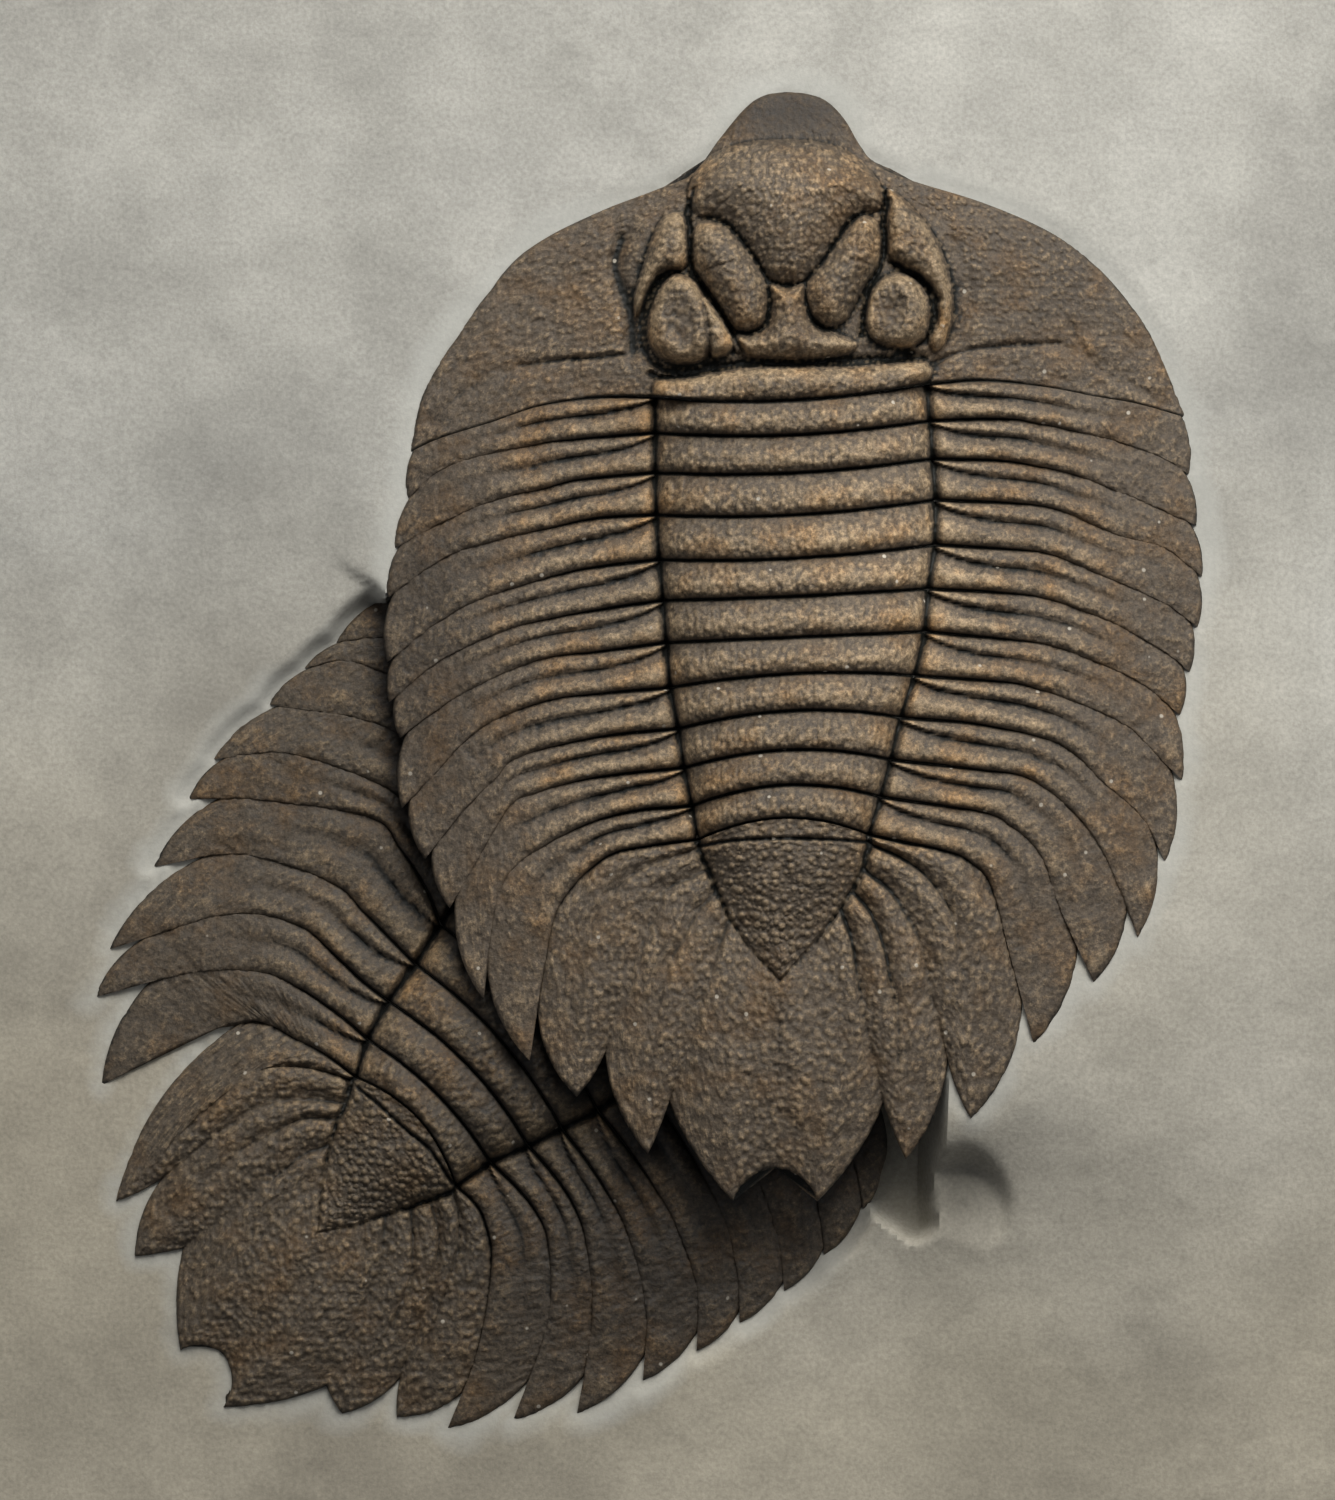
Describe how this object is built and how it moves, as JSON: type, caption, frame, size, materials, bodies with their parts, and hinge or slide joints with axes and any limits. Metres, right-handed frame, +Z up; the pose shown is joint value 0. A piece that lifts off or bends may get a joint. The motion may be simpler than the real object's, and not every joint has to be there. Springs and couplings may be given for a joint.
{
  "type": "trilobite fossil slab",
  "caption": "Shale slab with a pair of broad, saw-edged trilobite fossils in relief, one lying across the other; a specimen to display or study.",
  "frame": {"origin": "middle of the slab's flat underside", "axes": "+Z up out of the slab, the side the fossils show on; +Y towards the upper animal's head, along the slab's length; +X to the right seen from above"},
  "size_m": [0.215, 0.24, 0.0419],
  "materials": {
    "shale": "matte pale grey-beige calcareous shale, fine grained, scraped in preparation",
    "upper_shell": "dark brown-grey calcite shell, finely tubercled, tan on the crests, dull sheen",
    "lower_shell": "the same shell, a little darker and duller"
  },
  "bodies": {
    "root": {"matrix_slab": "shale", "upper_cephalon": "upper_shell", "upper_thorax_segment_01": "upper_shell", "upper_thorax_segment_02": "upper_shell", "upper_thorax_segment_03": "upper_shell", "upper_thorax_segment_04": "upper_shell", "upper_thorax_segment_05": "upper_shell", "upper_thorax_segment_06": "upper_shell", "upper_thorax_segment_07": "upper_shell", "upper_thorax_segment_08": "upper_shell", "upper_thorax_segment_09": "upper_shell", "upper_thorax_segment_10": "upper_shell", "upper_thorax_segment_11": "upper_shell", "upper_pygidium": "upper_shell", "lower_thorax_segment_03": "lower_shell", "lower_thorax_segment_04": "lower_shell", "lower_thorax_segment_05": "lower_shell", "lower_thorax_segment_06": "lower_shell", "lower_thorax_segment_07": "lower_shell", "lower_thorax_segment_08": "lower_shell", "lower_thorax_segment_09": "lower_shell", "lower_thorax_segment_10": "lower_shell", "lower_thorax_segment_11": "lower_shell", "lower_pygidium": "lower_shell"}
  },
  "joints": []
}
